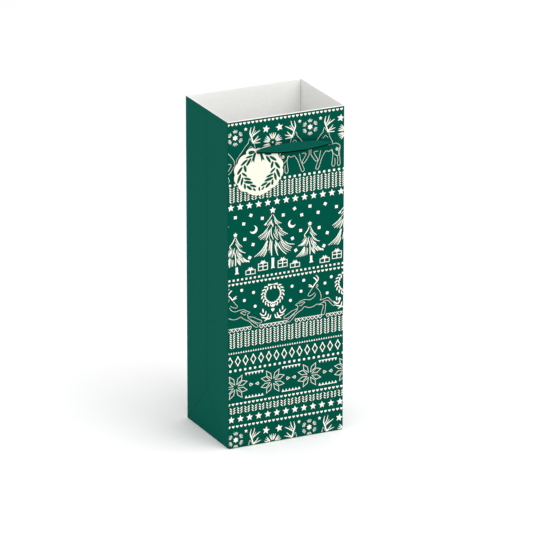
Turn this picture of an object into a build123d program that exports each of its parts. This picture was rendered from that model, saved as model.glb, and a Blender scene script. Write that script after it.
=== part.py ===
"""Wine gift bag: one folded paper bag with reinforcing cards, a loose base board, two ribbon
handles with T-bar ends and a wreath-shaped gift tag threaded on the front ribbon.

Millimetres. Origin at the middle of the base, +Z up, -Y the printed front, +X to the right.
The paper is divided at its creases, so that each facet can turn about its own fold line.
"""
import os
from math import cos, hypot, pi, sin

from build123d import *

# Driving sizes
WIDTH = 130.0           # across the front
DEPTH = 100.0           # front to back
HEIGHT = 350.0
PAPER = 0.3             # coated paper
CARD = 0.5              # reinforcing card at the mouth
BOARD = 0.8             # loose board in the base
CREASE = 0.2            # free gap across a fold line
SLANT_GAP = 0.4         # the same across a diagonal fold line, measured upright
TUCK_GAP = 0.6          # corner tucks to the diagonal
POINT_FREE = 2.0        # thin corners of the base triangles, cut back
HEM = 46.0              # depth of the turned-in top
CARD_DROP = 1.0         # rim to the top of the card
CORNER_FREE = 3.0       # hems and cards stop this far from a corner fold
CENTRE_FREE = 0.4       # side hems to the centre crease
SEAM = 15.0             # glued seam flap
SEAM_FREE = (0.4, 1.0)  # its ends to the level crease and to the hem
FLAP = 65.0             # front and rear base flaps
TUCK = 45.0             # side base flaps
HOLE_R = 2.0            # punched handle holes
HOLE_X = 48.5
HOLE_DROP = 38.0        # from the rim to the hole centres
RIBBON = 0.5
RIBBON_WIDE = 10.0      # at the middle of a handle
RIBBON_END = 2.4        # the ribbon gathered at a hole
RIBBON_FREE = 0.3       # a handle to its gathered ends
AXIS_OUT_FRONT = 3.8    # handle swing axis to the paper, in front of the tag
AXIS_OUT_BACK = 1.6
TAG_HOLE_X = -32.0
TAG_HOLE_RISE = 3.0     # the tag's hole above the handle holes
TAG_HOLE_R = 2.2
TAG_CARD = 0.5
TAG_OUT = 1.8           # back of the tag, in front of the paper
TAG_HALF_WIDE = 26.4
TAG_HALF_TALL = 22.8
TAG_DROP = 21.1         # hole centre to the wreath's centre
SCALLOPS = 12
SCALLOP_DEEP = 1.2
TAG_POINT = 1.4         # how far the lowest point of the wreath is drawn out
BOW_LOOP = (5.9, 4.2)   # half width and half height of each bow loop
BOW_LOOP_X = 8.0        # hole centre to a loop's centre
BOW_LOOP_UP = 0.8
BOW_KNOT_R = 4.2
BAR_LONG = 12.0
BAR_WIDE = 2.5
BAR_THICK = 1.2
BAR_ROUND = 1.2         # radius of its rounded ends
RUN_GAP = 0.3           # paper to the flat run of ribbon behind the tag
RUN_THICK = 0.9
BOARD_FREE = (1.5, 3.0)  # board's edges to the outer faces, at the sides and at the ends

# Places worked out from them
HALF_W, HALF_D = WIDTH / 2, DEPTH / 2
INNER_W, INNER_D = HALF_W - PAPER, HALF_D - PAPER
FOLD_Z = HALF_D         # the base folds flat about a line half the depth up
HOLE_Z = HEIGHT - HOLE_DROP
TAG_HOLE_Z = HOLE_Z + TAG_HOLE_RISE
GUSSET_END = INNER_D - CREASE
BASE_Z = 3 * PAPER      # top of the glued base flaps
FRONT, BACK = -1, 1
LEFT, RIGHT = -1, 1


def block(x0, x1, y0, y1, z0, z1):
    """A box from its two corners."""
    size = (abs(x1 - x0), abs(y1 - y0), abs(z1 - z0))
    return Pos((x0 + x1) / 2, (y0 + y1) / 2, (z0 + z1) / 2) * Box(*size)


def bored(solid, x, z=HOLE_Z, radius=HOLE_R):
    """The solid with a hole through it along Y."""
    return solid - Pos(x, 0, z) * Rot(90, 0, 0) * Cylinder(radius, 2 * DEPTH)


def punched(solid):
    """The solid with both handle holes."""
    return bored(bored(solid, -HOLE_X), HOLE_X)


def side_sheet(side, *points):
    """A sheet of paper in a side wall, from its (y, z) outline."""
    outline = Polyline(*[(side * HALF_W, y, z) for y, z in points], close=True)
    return extrude(make_face(outline), amount=PAPER, dir=(-side, 0, 0))


def wall(end, z0, z1):
    """A front or back wall of the full width."""
    return block(-HALF_W, HALF_W, end * INNER_D, end * HALF_D, z0, z1)


def gusset_front(side):
    """Front half of a side wall, down to the diagonal crease."""
    low = CREASE / 2
    return side_sheet(side, (-low, FOLD_Z), (-low, HEIGHT), (-GUSSET_END, HEIGHT),
                      (-GUSSET_END, FOLD_Z - GUSSET_END + SLANT_GAP))


def gusset_rear(side):
    """Rear half of a side wall, down to the level crease."""
    low = CREASE / 2
    return side_sheet(side, (low, FOLD_Z), (GUSSET_END, FOLD_Z), (GUSSET_END, HEIGHT), (low, HEIGHT))


def bottom_triangle(side):
    """The triangle under the two diagonal creases, cut back at its thin corners."""
    reach = GUSSET_END - POINT_FREE
    peak = reach - CREASE
    return side_sheet(side, (-reach, 0), (reach, 0), (0, peak))


def corner_tuck(side):
    """The small triangle between the diagonal, the level crease and the rear edge."""
    low = FOLD_Z - CREASE
    return side_sheet(side, (TUCK_GAP, low), (GUSSET_END, low), (GUSSET_END, FOLD_Z - GUSSET_END + TUCK_GAP))


def hem(end):
    """Turned-in top of the front or back wall, glued over its card."""
    reach = INNER_W - CORNER_FREE
    face = end * (INNER_D - CARD)
    return punched(block(-reach, reach, face - end * PAPER, face, HEIGHT - HEM, HEIGHT))


def card(end):
    """Reinforcing card between the wall and its hem."""
    reach = INNER_W - CORNER_FREE
    faces = end * (INNER_D - CARD), end * INNER_D
    return punched(block(-reach, reach, *faces, HEIGHT - HEM, HEIGHT - CARD_DROP))


def gusset_hem(side, end):
    """Turned-in top of half a side wall."""
    far = INNER_D - CORNER_FREE
    return block(side * (INNER_W - PAPER), side * INNER_W, end * CENTRE_FREE, end * far, HEIGHT - HEM, HEIGHT)


def base_flaps():
    """The four flaps glued together as the base, in three layers."""
    reach_x, reach_y = INNER_W - CREASE, INNER_D - CREASE
    flaps = {
        "bottom_flap_front": block(-reach_x, reach_x, -reach_y, FLAP - reach_y, 0, PAPER),
        "bottom_flap_rear": block(-reach_x, reach_x, reach_y - FLAP, reach_y, PAPER, 2 * PAPER),
    }
    for side, name in ((LEFT, "left"), (RIGHT, "right")):
        z0, far = 2 * PAPER, side * (reach_x - TUCK)
        corners = [(side * reach_x, -reach_y, z0), (side * reach_x, reach_y, z0),
                   (far, reach_y - TUCK, z0), (far, TUCK - reach_y, z0)]
        face = make_face(Polyline(*corners, close=True))
        flaps["bottom_tuck_" + name] = extrude(face, amount=PAPER, dir=(0, 0, 1))
    return flaps


def axis_y(end):
    """Where a handle's swing axis lies."""
    return end * (HALF_D + (AXIS_OUT_FRONT if end == FRONT else AXIS_OUT_BACK))


def ribbon_line(end):
    """Where a handle's ribbon comes forward on the left and on the right, as (x, z)."""
    left = (TAG_HOLE_X, TAG_HOLE_Z) if end == FRONT else (-HOLE_X, HOLE_Z)
    return left, (HOLE_X, HOLE_Z)


def handle(end):
    """Ribbon hanging between its gathered ends: a straight top edge and an arched lower edge."""
    (x0, z0), (x1, z1) = ribbon_line(end)
    span = hypot(x1 - x0, z1 - z0)
    along = ((x1 - x0) / span, (z1 - z0) / span)
    y = axis_y(end) - end * RIBBON / 2

    def place(distance, up):
        return (x0 + along[0] * distance - along[1] * up, y, z0 + along[1] * distance + along[0] * up)

    near = RIBBON_END / 2 + RIBBON_FREE
    far = span - near
    top, shoulder = RIBBON_END / 2, -RIBBON_END / 2
    lower = ThreePointArc(place(far, shoulder), place(span / 2, top - RIBBON_WIDE), place(near, shoulder))
    rest = Polyline(place(near, shoulder), place(near, top), place(far, top), place(far, shoulder))
    return extrude(make_face(Wire([lower, *rest.edges()])), amount=RIBBON, dir=(0, end, 0))


def rod_y(x, z, y0, y1):
    """Gathered ribbon running straight in or out."""
    return Pos(x, (y0 + y1) / 2, z) * Rot(90, 0, 0) * Cylinder(RIBBON_END / 2, abs(y1 - y0))


def ribbon_end(end, side):
    """The gathered ribbon from its T-bar out through the wall to where the handle swings."""
    x = side * HOLE_X
    inside = end * (INNER_D - CARD - PAPER)
    outside = axis_y(end) + end * RIBBON / 2
    if end == BACK or side == RIGHT:
        return rod_y(x, HOLE_Z, inside, outside)
    # On the tag's side the ribbon runs flat behind the tag and comes forward through its hole.
    run_in, run_out = -HALF_D - RUN_GAP, -HALF_D - RUN_GAP - RUN_THICK
    half = RIBBON_END / 2
    edge = Polyline((x, run_in, HOLE_Z - half), (TAG_HOLE_X, run_in, TAG_HOLE_Z - half),
                    (TAG_HOLE_X, run_in, TAG_HOLE_Z + half), (x, run_in, HOLE_Z + half), close=True)
    run = extrude(make_face(edge), amount=RUN_THICK, dir=(0, -1, 0))
    return rod_y(x, HOLE_Z, inside, run_out) + run + rod_y(TAG_HOLE_X, TAG_HOLE_Z, run_in, outside)


def t_bar(end, side):
    """Moulded bar that stops the ribbon inside the mouth."""
    face = end * (INNER_D - CARD - PAPER)
    x = side * HOLE_X
    bar = block(x - BAR_LONG / 2, x + BAR_LONG / 2, face - end * BAR_THICK, face,
                HOLE_Z - BAR_WIDE / 2, HOLE_Z + BAR_WIDE / 2)
    return fillet(bar.edges().filter_by(Axis.Y), BAR_ROUND)


def tag_point(turn, out):
    """A point of the wreath's outline, that far beyond its oval."""
    y, z = -(HALF_D + TAG_OUT), TAG_HOLE_Z - TAG_DROP
    return (TAG_HOLE_X + (TAG_HALF_WIDE + out) * cos(turn), y, z + (TAG_HALF_TALL + out) * sin(turn))


def tag_outline():
    """Wreath outline: one arc for each scallop, meeting in a point at the bottom."""
    arcs = []
    for i in range(SCALLOPS):
        start, end = (2 * pi * (i + k) / SCALLOPS - pi / 2 for k in (0, 1))
        first = TAG_POINT if i == 0 else 0
        last = TAG_POINT if i == SCALLOPS - 1 else 0
        arcs.append(ThreePointArc(tag_point(start, first), tag_point((start + end) / 2, SCALLOP_DEEP),
                                  tag_point(end, last)))
    return make_face(Wire(arcs))


def gift_tag():
    """Die-cut card: the wreath with a bow's knot and two loops on top, and a hole through the knot."""
    tag = extrude(tag_outline(), amount=TAG_CARD, dir=(0, -1, 0))
    knot = Pos(TAG_HOLE_X, -(HALF_D + TAG_OUT), TAG_HOLE_Z)
    tag += knot * Rot(90, 0, 0) * extrude(Circle(BOW_KNOT_R), TAG_CARD)
    for side in (LEFT, RIGHT):
        loop = knot * Pos(side * BOW_LOOP_X, 0, BOW_LOOP_UP)
        tag += loop * Rot(90, 0, 0) * extrude(Ellipse(*BOW_LOOP), TAG_CARD)
    return bored(tag, TAG_HOLE_X, TAG_HOLE_Z, TAG_HOLE_R)


def build():
    """Every sub-part by name."""
    board_x, board_y = HALF_W - BOARD_FREE[0], HALF_D - BOARD_FREE[1]
    made = {
        "front_panel": punched(wall(FRONT, 0, HEIGHT)),
        "back_panel": punched(wall(BACK, FOLD_Z + CREASE / 2, HEIGHT)),
        "back_lower_strip": wall(BACK, 0, FOLD_Z - CREASE / 2),
        "side_seam_flap": block(INNER_W - CREASE - SEAM, INNER_W - CREASE, INNER_D - PAPER, INNER_D,
                                FOLD_Z + SEAM_FREE[0], HEIGHT - HEM - SEAM_FREE[1]),
        "bottom_board": block(-board_x, board_x, -board_y, board_y, BASE_Z, BASE_Z + BOARD),
        "gift_tag": gift_tag(),
    }
    made.update(base_flaps())
    for side, name in ((LEFT, "left"), (RIGHT, "right")):
        made[name + "_gusset_front"] = gusset_front(side)
        made[name + "_gusset_rear"] = gusset_rear(side)
        made[name + "_bottom_triangle"] = bottom_triangle(side)
        made[name + "_corner_tuck"] = corner_tuck(side)
        made[name + "_gusset_front_hem"] = gusset_hem(side, FRONT)
        made[name + "_gusset_rear_hem"] = gusset_hem(side, BACK)
    for end, name in ((FRONT, "front"), (BACK, "back")):
        made[name + "_top_hem"] = hem(end)
        made[name + "_reinforcing_card"] = card(end)
        made[name + "_handle_ribbon"] = handle(end)
        for side, where in ((LEFT, "left"), (RIGHT, "right")):
            made[f"{name}_ribbon_end_{where}"] = ribbon_end(end, side)
            made[f"{name}_t_bar_{where}"] = t_bar(end, side)
    return made


os.makedirs("parts", exist_ok=True)
for node, shape in build().items():
    export_step(shape, f"parts/{node}.step")
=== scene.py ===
from math import atan2, cos, dist, exp, hypot, pi, radians, sin, sqrt

import bmesh
import bpy
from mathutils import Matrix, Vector
from mathutils.geometry import tessellate_polygon


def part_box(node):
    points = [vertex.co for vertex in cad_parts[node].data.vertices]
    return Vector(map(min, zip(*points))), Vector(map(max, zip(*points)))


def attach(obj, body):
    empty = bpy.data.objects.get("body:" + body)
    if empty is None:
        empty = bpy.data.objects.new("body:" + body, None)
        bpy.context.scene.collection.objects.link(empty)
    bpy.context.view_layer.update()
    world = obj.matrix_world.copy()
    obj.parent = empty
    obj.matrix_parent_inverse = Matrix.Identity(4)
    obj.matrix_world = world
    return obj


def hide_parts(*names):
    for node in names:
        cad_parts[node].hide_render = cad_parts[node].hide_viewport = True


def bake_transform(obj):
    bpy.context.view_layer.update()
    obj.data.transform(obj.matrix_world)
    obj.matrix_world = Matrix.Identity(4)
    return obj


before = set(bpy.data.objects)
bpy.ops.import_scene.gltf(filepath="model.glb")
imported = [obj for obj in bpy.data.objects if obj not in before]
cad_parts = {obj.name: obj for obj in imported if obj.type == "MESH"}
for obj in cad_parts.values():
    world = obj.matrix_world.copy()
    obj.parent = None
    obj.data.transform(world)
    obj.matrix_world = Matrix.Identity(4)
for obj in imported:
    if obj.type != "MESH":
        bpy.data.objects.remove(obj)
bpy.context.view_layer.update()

# Lengths below are in millimetres until a mesh is made
MM = 0.001


def node_box(node):
    """A CAD node's lowest and highest corners, in millimetres."""
    return [[x / MM for x in corner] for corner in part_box(node)]


def node_middle(node):
    return [(a + b) / 2 for a, b in zip(*node_box(node))]


PANEL_LOW, PANEL_HIGH = node_box("front_panel")
HALF_W, HEIGHT, HALF_D = PANEL_HIGH[0], PANEL_HIGH[2], -PANEL_LOW[1]
FOLD_Z = HALF_D
PAPER = 0.3
CARD = 0.5
CORNER_R = 0.8
WRAP = 0.3              # wall's paper beyond each rounded corner
HOLE_X, _, HOLE_Z = node_middle("front_t_bar_right")
HOLE_R = 2.0
CREASE_SHADE_HALF_WIDE = 1.4            # half the width of the painted shade along a crease
CREASE_PAINTED_SHADE = 0.78
HEM_LOW = node_box("front_top_hem")[0][2]
FRONT_AXIS_Y, BACK_AXIS_Y = (node_middle(end + "_handle_ribbon")[1] for end in ("front", "back"))
TAG_LOW, TAG_HIGH = node_box("gift_tag")
TAG_X = (TAG_LOW[0] + TAG_HIGH[0]) / 2
TAG_FACE_Y, TAG_BACK_Y = TAG_LOW[1], TAG_HIGH[1]
SIDES = ((-1, "left"), (1, "right"))


# ---------------------------------------------------------------- materials

class Shader:
    """A node material with short calls for the nodes that it needs."""

    def __init__(self, name, roughness, specular):
        self.material = bpy.data.materials.new(name)
        self.material.use_nodes = True
        self.nodes = self.material.node_tree.nodes
        self.bsdf = self.nodes["Principled BSDF"]
        self.feed(self.bsdf, Roughness=roughness, Specular_IOR_Level=specular)
        self.place = self.add("TexCoord").outputs["Object"]

    def link(self, socket, value):
        """Gives a socket a number, a vector or another node's output."""
        if isinstance(value, bpy.types.NodeSocket):
            self.material.node_tree.links.new(value, socket)
        else:
            socket.default_value = value

    def feed(self, node, **inputs):
        for name, value in inputs.items():
            self.link(node.inputs[name.replace("_", " ")], value)

    def add(self, kind, **inputs):
        node = self.nodes.new("ShaderNode" + kind)
        self.feed(node, **inputs)
        return node

    def combined(self, kind, operation, a, b):
        """The result of a math node of a kind on two sockets or numbers."""
        node = self.add(kind)
        node.operation = operation
        for socket, value in zip(node.inputs, (a, b)):
            self.link(socket, value)
        return node.outputs[0]

    def math(self, operation, a, b=0):
        return self.combined("Math", operation, a, b)

    def noise(self, scale, detail, stretch=None):
        """Fractal noise, with scale in waves per metre."""
        place = self.place
        if stretch:
            place = self.add("Mapping", Vector=place, Scale=stretch).outputs["Vector"]
        return self.add("TexNoise", Vector=place, Scale=scale, Detail=detail).outputs["Fac"]

    def wave(self, scale, direction):
        """Straight ridges across one axis, with scale in waves per metre."""
        node = self.add("TexWave", Vector=self.place, Scale=scale)
        node.bands_direction = direction
        return node.outputs["Fac"]

    def tones(self, factor, colour, *stops):
        """Shades of a colour, from (position, brightness) stops."""
        node = self.add("ValToRGB", Fac=factor)
        elements = node.color_ramp.elements
        while len(elements) < len(stops):
            elements.new(0.5)
        for element, (position, bright) in zip(elements, stops):
            element.position = position
            element.color = (*[c * bright for c in colour], 1)
        return node.outputs["Color"]

    def roughness(self, factor, low, high):
        """Roughness varied between two values by a 0 to 1 factor."""
        spread = self.add("MapRange", Value=factor, To_Min=low, To_Max=high)
        self.feed(self.bsdf, Roughness=spread.outputs["Result"])

    def bump(self, height, strength, distance):
        """Surface relief, with distance in metres."""
        relief = self.add("Bump", Height=height, Strength=strength, Distance=distance)
        self.feed(self.bsdf, Normal=relief.outputs["Normal"])


def linear(*srgb):
    """Linear colour from 0-255 sRGB values."""
    return tuple(((c / 255 + 0.055) / 1.055) ** 2.4 if c > 10 else c / 255 / 12.92 for c in srgb)


def crease_painted_shade(shader):
    """Painted shade along the side wall's creases: 1 away from them, less where the paper is scored."""
    _, across, up = shader.add("SeparateXYZ", Vector=shader.place).outputs
    across = shader.math("ABSOLUTE", across)
    below = shader.math("SUBTRACT", FOLD_Z * MM, up)
    from_centre = shader.math("MAXIMUM", across, below)
    apart = shader.math("ABSOLUTE", shader.math("SUBTRACT", below, across))
    from_diagonal = shader.math("MULTIPLY", apart, sqrt(0.5))
    nearest = shader.math("MINIMUM", from_centre, from_diagonal)
    shade = shader.add("MapRange", Value=nearest, From_Max=CREASE_SHADE_HALF_WIDE * MM, To_Min=CREASE_PAINTED_SHADE, To_Max=1.0)
    shade.interpolation_type = "SMOOTHSTEP"
    return shade.outputs["Result"]


def paper(name, colour, roughness, variation, fibre, crease_shaded=False):
    """Coated or plain paper: slight mottling and fine fibres, with painted shade along the creases where
    asked.
    """
    shader = Shader(name, roughness, 0.008)
    tone = shader.tones(shader.noise(260, 6), colour, (0.3, 1 - variation), (0.7, 1 + variation))
    if crease_shaded:
        # painted shade darkens the colour along the creases
        tone = shader.combined("VectorMath", "MULTIPLY", tone, crease_painted_shade(shader))
    shader.feed(shader.bsdf, Base_Color=tone)
    shader.roughness(shader.noise(900, 3), roughness - 0.06, roughness + 0.06)
    shader.bump(shader.noise(3200, 5, (1, 1, 0.45)), fibre, 0.00004)
    return shader.material


def board(name, colour):
    """Grey-white board with visible long fibres and specks."""
    shader = Shader(name, 0.85, 0.1)
    specks = shader.noise(1500, 8, (1, 0.35, 1))
    tone = shader.tones(specks, colour, (0.35, 0.86), (0.5, 1), (0.68, 1.05))
    shader.feed(shader.bsdf, Base_Color=tone)
    shader.bump(specks, 0.35, 0.00008)
    return shader.material


def ribbon_cloth(name, colour):
    """Single-face satin: fine warp ridges along the ribbon, crossed by the weft."""
    shader = Shader(name, 0.5, 0.012)
    weave = shader.math("MULTIPLY", shader.wave(420, "Z"), shader.wave(700, "X"))
    cloud = shader.noise(500, 3, (0.3, 1, 2))
    shade = shader.math("ADD", shader.math("MULTIPLY", weave, 0.35), shader.math("MULTIPLY", cloud, 0.65))
    shader.feed(shader.bsdf, Base_Color=shader.tones(shade, colour, (0.2, 0.82), (0.75, 1.15)))
    shader.bump(weave, 0.3, 0.00005)
    return shader.material


def moulded(name, colour):
    """Moulded plastic with a fine spark-eroded grain."""
    shader = Shader(name, 0.38, 0.2)
    grain = shader.noise(4200, 3)
    shader.feed(shader.bsdf, Base_Color=shader.tones(grain, colour, (0.3, 0.93), (0.7, 1.06)))
    shader.bump(grain, 0.15, 0.00003)
    return shader.material


GREEN_FRONT = linear(0, 77, 62)
# the side walls' green is the front's green painted lighter, standing in for the stronger light on the sides
GREEN_SIDE_PAINTED_LIGHTER = linear(4, 86, 73)
GREEN_RIBBON = linear(6, 84, 72)
CREAM = linear(246, 246, 236)
WHITE = linear(244, 244, 242)

FRONT_PAPER = paper("front_green_print", GREEN_FRONT, 0.55, 0.05, 0.2)
SIDE_PAPER_PAINTED_LIGHTER = paper("side_green_print_painted_lighter", GREEN_SIDE_PAINTED_LIGHTER, 0.55, 0.04, 0.2, crease_shaded=True)
WHITE_PAPER = paper("white_paper", WHITE, 0.8, 0.015, 0.4)
INK = paper("unprinted_cream", CREAM, 0.52, 0.02, 0.2)
TAG_PAPER = paper("cream_card", linear(232, 232, 216), 0.62, 0.02, 0.3)
TAG_GREEN = paper("tag_green_print", GREEN_FRONT, 0.5, 0.08, 0.2)
BOARD = board("plain_board", linear(206, 202, 190))
RIBBON = ribbon_cloth("green_satin", GREEN_RIBBON)
# near-black painted shadow along the lower edge of each handle ribbon, where it stands off the wall
RIBBON_PAINTED_SHADOW = ribbon_cloth("ribbon_painted_shadow", linear(0, 9, 6))
PLASTIC = moulded("green_plastic", GREEN_SIDE_PAINTED_LIGHTER)


# ---------------------------------------------------------------- mesh helpers

def in_scene(name, data):
    """A new object in the scene."""
    made = bpy.data.objects.new(name, data)
    bpy.context.scene.collection.objects.link(made)
    return made


def finish_mesh(name, points, faces, body, materials, kinds=None, smooth=True):
    """A mesh piece from points in millimetres, riding on its body."""
    mesh = bpy.data.meshes.new(name)
    mesh.from_pydata([Vector(p) * MM for p in points], [], faces)
    for material in materials:
        mesh.materials.append(material)
    for polygon, kind in zip(mesh.polygons, kinds or [0] * len(faces)):
        polygon.material_index = kind
    work = bmesh.new()
    work.from_mesh(mesh)
    bmesh.ops.recalc_face_normals(work, faces=work.faces)
    work.to_mesh(mesh)
    work.free()
    piece = in_scene(name, mesh)
    if smooth:
        mesh.shade_smooth()
        mesh.set_sharp_from_angle(angle=radians(40))
    if body:
        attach(piece, body)
    return piece


def sheet_piece(name, outer, inner, body, materials, outer_kind=lambda i, j: 0):
    """A closed sheet from its outer and inner grids; its cut edges take the inner material."""
    rows, cols = len(outer), len(outer[0])
    count = rows * cols
    points = [p for grid in (outer, inner) for row in grid for p in row]
    faces, kinds = [], []

    def add(kind, *corners):
        faces.append(corners)
        kinds.append(kind)

    for i in range(rows - 1):
        for j in range(cols - 1):
            a = i * cols + j
            add(outer_kind(i, j), a, a + 1, a + cols + 1, a + cols)
            add(1, a + count, a + cols + count, a + cols + 1 + count, a + 1 + count)
    rim = list(range(cols)) + [i * cols + cols - 1 for i in range(1, rows)]
    rim += [(rows - 1) * cols + j for j in range(cols - 2, -1, -1)]
    rim += [i * cols for i in range(rows - 2, 0, -1)]
    for a, b in zip(rim, rim[1:] + rim[:1]):
        add(1, a, a + count, b + count, b)
    return finish_mesh(name, points, faces, body, materials, kinds)


def close_spread(start, end, steps):
    """Values from start to end, closer together towards both."""
    return [start + (end - start) * (1 - cos(pi * i / steps)) / 2 for i in range(steps + 1)]


def even_spread(start, end, steps):
    return [start + (end - start) * i / steps for i in range(steps + 1)]


def joined(piece, other, how):
    """A boolean of two pieces, applied to the first."""
    change = piece.modifiers.new("join", "BOOLEAN")
    change.object = other
    change.operation = how
    change.solver = "EXACT"
    graph = bpy.context.evaluated_depsgraph_get()
    mesh = bpy.data.meshes.new_from_object(piece.evaluated_get(graph))
    piece.modifiers.clear()
    piece.data = mesh
    bpy.data.objects.remove(other)


def bored(piece, radius, x, y, z, depth):
    """Cuts a round hole along Y through a piece."""
    bpy.ops.mesh.primitive_cylinder_add(vertices=32, radius=radius * MM, depth=depth * MM,
                                        location=(x * MM, y * MM, z * MM), rotation=(pi / 2, 0, 0))
    joined(piece, bpy.context.object, "DIFFERENCE")


def punched(piece):
    """Cuts both ribbon holes through a wall or hem."""
    for x in (-HOLE_X, HOLE_X):
        bored(piece, HOLE_R, x, 0, HOLE_Z, 3 * HALF_D)


# ---------------------------------------------------------------- how the paper settles

WALL_BOW = 0.35         # front and back walls stand proud of a flat wall, most in the middle
GUSSET_LEAN = 0.04      # side walls lean in at the mouth, most at their centre crease
GROOVE = 0.06           # depth of a scored crease
GROOVE_WIDE = 0.55
HEM_DEEP = 46
STIFF_Z = HEIGHT - HEM_DEEP


def groove(distance):
    return GROOVE * exp(-((distance / GROOVE_WIDE) ** 2))


def settled(p):
    """A wall point moved from the flat wall to where the paper settles."""
    x, y, z = p
    if abs(y) > HALF_D - 2 and abs(x) < HALF_W - CORNER_R:
        low = 0 if y < 0 else 2 * FOLD_Z
        rise = sin(pi * (min(max(z, low), STIFF_Z) - low) / (STIFF_Z - low)) ** 2
        y += WALL_BOW * (1 - (x / HALF_W) ** 2) * rise * (1 if y > 0 else -1)
    if abs(x) > HALF_W - 2 and abs(y) < HALF_D - CORNER_R:
        up = max(0, (z - FOLD_Z) / (HEIGHT - FOLD_Z))
        inward = GUSSET_LEAN * up ** 1.5 * (1 - abs(y) / HALF_D)
        if z > FOLD_Z:
            inward += groove(y)
        if z < FOLD_Z + 2:
            inward += groove((FOLD_Z - abs(y) - z) / sqrt(2))
        x -= inward if x > 0 else -inward
    return (x, y, z)


def wall_grid(path, levels, depth):
    """Grid of wall points at a depth behind the outer face; path gives (x, y, normal x, normal y)."""
    return [[settled((x - nx * depth, y - ny * depth, z)) for x, y, nx, ny in path] for z in levels]


def corner(centre_x, centre_y, start, end):
    """Path points round a rounded corner, between two angles in degrees."""
    turns = [radians(a) for a in even_spread(start, end, 5)]
    return [(centre_x + CORNER_R * cos(t), centre_y + CORNER_R * sin(t), cos(t), sin(t)) for t in turns]


def front_path():
    """The front wall from one side to the other, round both front corners."""
    cx, cy = HALF_W - CORNER_R, CORNER_R - HALF_D
    straight = [(x, -HALF_D, 0, -1) for x in even_spread(-cx, cx, 28)[1:-1]]
    left = [(-HALF_W, cy + WRAP, -1, 0)] + corner(-cx, cy, 180, 270)
    right = corner(cx, cy, 270, 360) + [(HALF_W, cy + WRAP, 1, 0)]
    return left + straight + right


def back_path():
    """The flat back wall, which ends at its corner folds."""
    reach = HALF_W - CORNER_R
    return [(x, HALF_D, 0, 1) for x in even_spread(reach, -reach, 28)]


WALL_TOP = HEIGHT - 0.55
SIDE_TOP = HEIGHT - 0.35


def wall_sheet(name, path, levels, body):
    """A printed wall along a path, between levels."""
    return sheet_piece(name, wall_grid(path, levels, 0), wall_grid(path, levels, PAPER), body,
                       [FRONT_PAPER, WHITE_PAPER])


def front_wall():
    wall = wall_sheet("front_wall", front_path(), even_spread(CORNER_R, WALL_TOP, 60), None)
    punched(wall)
    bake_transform(wall)
    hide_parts("front_panel")


def back_wall():
    wall = wall_sheet("back_wall", back_path(), close_spread(FOLD_Z, WALL_TOP, 52), "back")
    punched(wall)
    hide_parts("back_panel")
    strip = wall_sheet("back_lower_wall", back_path(), close_spread(CORNER_R, FOLD_Z, 24), None)
    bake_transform(strip)
    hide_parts("back_lower_strip")


def side_grid(side, columns, depth):
    """Grid of a side facet; a column is (x, y, normal x, normal y, levels), as on the right-hand side."""
    return [[settled((side * (x - nx * depth), y - ny * depth, levels[i]))
             for x, y, nx, ny, levels in columns] for i in range(len(columns[0][-1]))]


def rear_corner(levels):
    """Columns round the rear corner, seen from the right-hand side."""
    cx, cy = HALF_W - CORNER_R, HALF_D - CORNER_R
    return [(x, y, nx, ny, levels) for x, y, nx, ny in corner(cx, cy, 0, 90)]


def facet(name, side, columns, body, node):
    """One facet of a side wall."""
    piece = sheet_piece(name, side_grid(side, columns, 0), side_grid(side, columns, PAPER), body,
                        [SIDE_PAPER_PAINTED_LIGHTER, WHITE_PAPER])
    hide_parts(node)
    return piece


def flat_columns(ys, levels_at):
    """Columns of the flat part of a side facet, with their levels from levels_at(y)."""
    return [(HALF_W, y, 1, 0, levels_at(y)) for y in ys]


def gussets(side, word):
    """Both halves of a side wall and the two small facets under them."""
    edge = HALF_D - CORNER_R
    columns = flat_columns(close_spread(0, WRAP - edge, 26),
                           lambda y: close_spread(FOLD_Z + y, SIDE_TOP, 56))
    front = facet(word + "_front_gusset_sheet", side, columns, None, word + "_gusset_front")
    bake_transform(front)

    levels = close_spread(FOLD_Z, SIDE_TOP, 56)
    columns = flat_columns(close_spread(0, edge, 24)[:-1], lambda y: levels) + rear_corner(levels)
    rear = facet(word + "_rear_gusset_sheet", side, columns, None, word + "_gusset_rear")
    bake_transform(rear)

    columns = flat_columns(close_spread(0.05, edge, 24)[:-1],
                           lambda y: close_spread(FOLD_Z - y, FOLD_Z, 24))
    columns += rear_corner(close_spread(FOLD_Z - edge, FOLD_Z, 24))
    tuck = facet(word + "_corner_tuck_sheet", side, columns, None, word + "_corner_tuck")
    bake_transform(tuck)

    columns = flat_columns(close_spread(-edge, 0, 20) + close_spread(0, edge, 20)[1:],
                           lambda y: close_spread(CORNER_R, max(FOLD_Z - abs(y), CORNER_R + 0.02), 24))
    facet(word + "_bottom_triangle_sheet", side, columns, word + "_triangle", word + "_bottom_triangle")


def fold_edge(name, points, across, body, other=None):
    """Fold between the base and a wall: a quarter round swept along points; across is its outward way."""
    ax, ay = across
    turns = [radians(a) for a in even_spread(0, 90, 6)]

    def grid(radius):
        return [[(x - ax * (CORNER_R - radius * cos(t)), y - ay * (CORNER_R - radius * cos(t)),
                  CORNER_R - radius * sin(t)) for t in turns] for x, y in points]

    piece = sheet_piece(name, grid(CORNER_R), grid(CORNER_R - PAPER), None if other else body,
                        [SIDE_PAPER_PAINTED_LIGHTER, WHITE_PAPER])
    if other:
        x, y = points[len(points) // 2]
        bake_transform(piece)


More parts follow.
